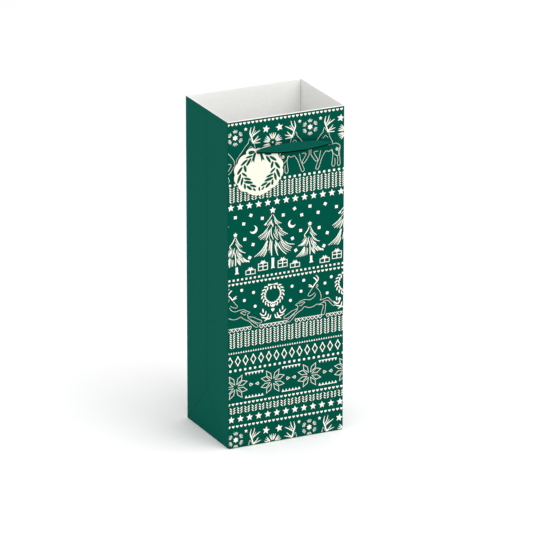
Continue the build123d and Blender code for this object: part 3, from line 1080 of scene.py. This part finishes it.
def handle_ribbon(end, left, right, axis_y, rise, drop, name, node, body):
    """Ribbon gathered at two holes, with a painted shadow along its lower edge; rise and drop reach from the
    line between them to its edges.
    """
    (x0, z0), (x1, z1) = left, right
    span = hypot(x1 - x0, z1 - z0)
    ux, uz = (x1 - x0) / span, (z1 - z0) / span
    rows, cols = 110, 90
    outer, inner, lower_edge = [], [], []
    for i in range(rows + 1):
        s = (1 - cos(pi * i / rows)) / 2
        high = GATHERED_HALF + (rise - GATHERED_HALF) * sin(pi * s) ** 0.55
        low = -GATHERED_HALF - (drop - GATHERED_HALF) * sin(pi * s) ** 0.85
        section = folded_section(high, low, cols)
        behind = section[-1][1] / 2
        swell = 0.25 * sin(pi * s)
        flat = [(up, behind - depth + swell * (1 - ((up - low) / (high - low) * 2 - 1) ** 2))
                for up, depth in section]
        lines = ([], [])
        for j, (up, out) in enumerate(flat):
            (ua, oa), (ub, ob) = flat[max(j - 1, 0)], flat[min(j + 1, cols)]
            size = hypot(ub - ua, ob - oa) or 1
            nu, no = (ob - oa) / size, -(ub - ua) / size
            for line, side in zip(lines, (0.5, -0.5)):
                o, u = out + side * RIBBON_SHEET * no, up + side * RIBBON_SHEET * nu
                line.append((x0 + ux * span * s - uz * u, axis_y + end * o, z0 + uz * span * s + ux * u))
        outer.append(lines[0])
        inner.append(lines[1])
        lower_edge.append(min(high - low, RIBBON_WIDE))

    # cells within this width of the lower edge take the painted shadow
    def kind(i, j):
        w = RIBBON_WIDE * (j + 0.5) / cols
        return 1 if abs(w - lower_edge[i]) < PAINTED_SHADOW_WIDE else 0

    ribbon = sheet_piece(name, outer, inner, body, [RIBBON, RIBBON_PAINTED_SHADOW], kind)
    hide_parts(node)


def fluted(name, path, sizes, body, nodes, twist=0.5):
    """Gathered ribbon along a path: a bundle of folds; sizes are its (sideways, upward) radii."""
    around = 24
    points, faces = [], []
    for i, (p, (wide, tall)) in enumerate(zip(path, sizes)):
        a, b = Vector(path[max(i - 1, 0)]), Vector(path[min(i + 1, len(path) - 1)])
        way = (b - a).normalized()
        side = way.cross(Vector((0, 0, 1)))
        side = side.normalized() if side.length > 0.1 else Vector((1, 0, 0))
        up = side.cross(way)
        for k in range(around):
            t = 2 * pi * k / around
            r = 1 + 0.13 * cos(6 * t + twist * i)
            points.append(Vector(p) + side * (wide * r * cos(t)) + up * (tall * r * sin(t)))
    for i in range(len(path) - 1):
        for k in range(around):
            a, b = i * around + k, i * around + (k + 1) % around
            faces.append((a, b, b + around, a + around))
    last = (len(path) - 1) * around
    faces += [tuple(range(around))[::-1], tuple(last + k for k in range(around))]
    piece = finish_mesh(name, points, faces, body, [RIBBON])
    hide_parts(*nodes)
    return piece


RUN_OUT = 0.75          # middle of the flat run behind the tag, in front of the wall


def ribbon_ends():
    """Gathered ends of both ribbons, from their T-bars to where the handles swing."""
    inside = HALF_D - PAPER - CARD - PAPER
    made = {}
    for end, name, side, where, axis_y, rise in ((-1, "front", 1, "right", FRONT_AXIS_Y, 0.6),
                                                 (1, "back", -1, "left", BACK_AXIS_Y, 0.0),
                                                 (1, "back", 1, "right", BACK_AXIS_Y, 0.0)):
        path = [(side * HOLE_X, y, HOLE_Z + rise) for y in even_spread(end * inside, axis_y, 12)]
        sizes = [(GATHERED_R, GATHERED_R)] * len(path)
        made[name, where] = fluted(f"{name}_gathered_end_{where}", path, sizes, name,
                                   [f"{name}_ribbon_end_{where}"])
    run_y = -HALF_D - RUN_OUT
    path = [(-HOLE_X, y, HOLE_Z) for y in even_spread(-inside, run_y + 0.5, 5)]
    path += [(-HOLE_X + 0.5, run_y + 0.1, HOLE_Z + 0.1)]
    path += [(x, run_y, HOLE_Z + (TAG_HOLE_Z - HOLE_Z) * (x + HOLE_X) / (TAG_HOLE_X + HOLE_X))
             for x in even_spread(-HOLE_X + 1.2, TAG_HOLE_X - 1.4, 14)]
    path += [(TAG_HOLE_X - 0.5, run_y - 0.2, TAG_HOLE_Z)]
    path += [(TAG_HOLE_X, y, TAG_HOLE_Z) for y in even_spread(run_y - 0.9, FRONT_AXIS_Y, 6)]
    sizes = []
    for x, _, _ in path:
        flat = min(1, max(0, (x + HOLE_X - 0.4) / 1.2)) * min(1, max(0, (TAG_HOLE_X - 0.4 - x) / 1.2))
        sizes.append((GATHERED_R * (1 - flat) + FLATTENED_R * flat, GATHERED_R))
    made["front", "left"] = fluted("front_gathered_end_left", path, sizes, "front",
                                   ["front_ribbon_end_left"], 0.3)
    return made


def ribbons():
    ends = ribbon_ends()
    for end, name, left, right, axis_y, rise, drop in (
            (-1, "front", (TAG_HOLE_X - 2.8, TAG_HOLE_Z + 0.9), (HOLE_X - 0.9, HOLE_Z + 1.6),
             FRONT_AXIS_Y, 5.8, 4.9),
            (1, "back", (-HOLE_X - 0.9, HOLE_Z), (HOLE_X + 0.9, HOLE_Z), BACK_AXIS_Y, 1.4, 9.0)):
        handle_ribbon(end, left, right, axis_y, rise, drop, name + "_ribbon", name + "_handle_ribbon",
                      name + "_handle")


# ---------------------------------------------------------------- gift tag

TAG_HALF_WIDE = 26.4
TAG_HALF_TALL = 22.8
TAG_POINT = 2.2         # the wreath's bottom point stands out this far
TAG_MIDDLE_Z = TAG_LOW[2] + TAG_HALF_TALL + TAG_POINT
TAG_HOLE_R = 2.2
KNOT_R = 4.2
LOOP = (5.9, 4.2)
LOOP_X, LOOP_UP = 8.0, 0.8


def wreath_edge(turn):
    """Edge of the wreath at an angle from the bottom."""
    lobe = 1.6 * abs(sin(6 * turn)) ** 0.8
    point = TAG_POINT * max(0, 1 - abs(((turn + pi) % (2 * pi)) - pi) / 0.26)
    wobble = 0.35 * sin(2 * turn + 1.1) + 0.25 * sin(5 * turn)
    return (TAG_X + (TAG_HALF_WIDE + lobe + point + wobble * 0.6) * sin(turn),
            TAG_MIDDLE_Z - (TAG_HALF_TALL + lobe + point + wobble * 0.4) * cos(turn))


def round_turns(count):
    return [2 * pi * i / count for i in range(count)]


def tag_discs():
    """The tag's parts as outlines: wreath, knot and two bow loops."""
    discs = [[wreath_edge(2 * pi * i / 144) for i in range(144)]]
    discs.append([(TAG_X + KNOT_R * cos(t), TAG_HOLE_Z + KNOT_R * sin(t)) for t in round_turns(40)])
    for side in (-1, 1):
        x, z = TAG_X + side * LOOP_X, TAG_HOLE_Z + LOOP_UP
        discs.append([(x + LOOP[0] * (1 + 0.03 * cos(3 * t)) * cos(t), z + LOOP[1] * sin(t))
                      for t in round_turns(48)])
    return discs


def gift_tag():
    """Die-cut card with its printed wreath."""
    tag = None
    for k, disc in enumerate(tag_discs()):
        count = len(disc)
        points = [(x, y, z) for y in (TAG_FACE_Y, TAG_BACK_Y) for x, z in disc]
        faces = [tuple(range(count)), tuple(range(2 * count - 1, count - 1, -1))]
        faces += [(i, i + count, (i + 1) % count + count, (i + 1) % count) for i in range(count)]
        name = f"tag_part_{k}" if tag else "wreath_tag"
        part = finish_mesh(name, points, faces, None, [TAG_PAPER], smooth=False)
        if tag:
            joined(tag, part, "UNION")
        else:
            tag = part
    bored(tag, TAG_HOLE_R, TAG_X, TAG_FACE_Y, TAG_HOLE_Z, 20)
    rounded = tag.modifiers.new("soft_cut_edge", "BEVEL")
    rounded.width = 0.07 * MM
    rounded.segments = 2
    rounded.limit_method = "ANGLE"
    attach(tag, "tag")
    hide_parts("gift_tag")

    def on_tag(x, z, height):
        return (x, TAG_FACE_Y - height, z)

    window = ((TAG_LOW[0], TAG_LOW[2]), (TAG_HIGH[0], TAG_HIGH[2] + 2))
    shapes = placed(tag_wreath(), TAG_X, TAG_MIDDLE_Z)
    printed("tag_print", shapes, on_tag, window, "tag", TAG_GREEN)


def tag_wreath():
    """Leaves in slanted pairs round the tag, two notched tails and the inside of a bow loop."""
    shapes = between((0.6, -16.4), (0.8, -21), 2.1, 0.8)
    leaves = (
        ((6.7, 17.4), (13.9, 16.2), 1.9), ((12.5, 14), (19.4, 9), 2.2), ((18.3, 6.9), (23.4, 0.2), 2.4),
        ((20, -0.4), (23.4, -9.2), 2.4), ((17.6, -4.2), (19.4, -11.8), 2.1),
        ((15.6, -11), (15, -16.4), 2), ((12.9, -13.8), (7.9, -18.2), 2.3),
        ((6.2, -17.2), (3.4, -20), 1.6), ((8.6, 14.8), (13.2, 7.8), 2.3), ((15.8, 8.2), (14.2, 1.6), 2.3),
        ((18.3, 0.8), (13.2, -3.4), 1.9), ((16.1, -5), (8.9, -7.4), 2), ((15.8, -8.8), (6.9, -11.2), 2.5),
        ((9.4, -13.2), (2.9, -15.8), 2.1))
    for way in (-1, 1):
        for (x0, z0), (x1, z1), wide in leaves:
            dx, dz = (x1 - x0) * 0.07, (z1 - z0) * 0.07
            shapes += between((way * (x0 - dx), z0 - dz), (way * (x1 + dx), z1 + dz), 1.3 * wide, 0.9)
        tail = [(1.6, 20.2), (4.4, 20.2), (6, 15.2), (7.6, 10.6), (5.4, 12.2), (4.2, 9.6), (3.2, 14.4)]
        shapes.append(("fill", [(way * x - 0.9, z) for x, z in tail]))
        rise = TAG_HOLE_Z + LOOP_UP - TAG_MIDDLE_Z
        loop = [(3.7, -0.2), (5.6, 1.6), (8.8, 2), (11.2, 1.3), (11.4, -0.8), (9.4, -2.3), (6.8, -1.9)]
        shapes.append(("fill", [(way * x, rise + z) for x, z in loop]))
    return shapes


# ---------------------------------------------------------------- small parts kept from the CAD

def dressed(node, material, soften=None):
    """A CAD node in its material, with softened edges where asked."""
    piece = bpy.data.objects[node]
    piece.data.materials.clear()
    piece.data.materials.append(material)
    if soften:
        edge = piece.modifiers.new("soft_edges", "BEVEL")
        edge.width = soften * MM
        edge.segments = 3
        edge.limit_method = "ANGLE"


def small_parts():
    for end in ("front", "back"):
        dressed(end + "_reinforcing_card", BOARD)
        for side in ("left", "right"):
            dressed(f"{end}_t_bar_{side}", PLASTIC, 0.25)
    dressed("bottom_board", BOARD, 0.08)
    for node in ("bottom_flap_front", "bottom_flap_rear", "bottom_tuck_left", "bottom_tuck_right",
                 "side_seam_flap"):
        dressed(node, WHITE_PAPER)


# ---------------------------------------------------------------- stage, light and camera

def soft_light(name, at, size, power):
    """Large soft lamp aimed at the middle of the bag; lengths in metres."""
    data = bpy.data.lights.new(name, "AREA")
    data.shape = "DISK"
    data.size = size
    data.energy = power
    lamp = in_scene(name, data)
    lamp.location = at
    lamp.rotation_euler = (Vector((0, 0, HEIGHT / 2 * MM)) - Vector(at)).to_track_quat("-Z", "Y").to_euler()


def studio():
    bpy.ops.mesh.primitive_plane_add(size=8, location=(0, 0, 0))
    floor = bpy.context.object
    floor.name = "studio_floor"
    pale = Shader("studio_white", 0.9, 0.5)
    pale.feed(pale.bsdf, Base_Color=(0.95, 0.95, 0.95, 1))
    floor.data.materials.append(pale.material)
    world = bpy.data.worlds.new("studio_light")
    world.use_nodes = True
    light = world.node_tree.nodes["Background"].inputs
    light["Color"].default_value = (1, 1, 1, 1)
    light["Strength"].default_value = 0.9
    bpy.context.scene.world = world
    soft_light("key", (0.9, -2.1, 1.5), 1.8, 8)
    soft_light("side", (-2.2, -0.4, 0.9), 1.4, 1)
    soft_light("top", (0.5, -0.8, 2.3), 1.8, 22)
    bpy.context.scene.view_settings.view_transform = "Standard"


def camera():
    azimuth, elevation, away = radians(-25.7), radians(19.6), 5.34
    back = Vector((sin(azimuth) * cos(elevation), -cos(azimuth) * cos(elevation), sin(elevation)))
    data = bpy.data.cameras.new("camera")
    data.lens = 353.6
    data.sensor_width = 36
    data.shift_x = 0.0032
    data.shift_y = -0.0056
    view = in_scene("camera", data)
    view.location = Vector((0, 0, HEIGHT / 2 * MM)) + back * away
    view.rotation_euler = (-back).to_track_quat("-Z", "Y").to_euler()
    bpy.context.scene.camera = view


front_wall()
back_wall()
for hand, word in SIDES:
    gussets(hand, word)
base_folds()
hems()
front_and_back_print()
ribbons()
gift_tag()
small_parts()
studio()
camera()
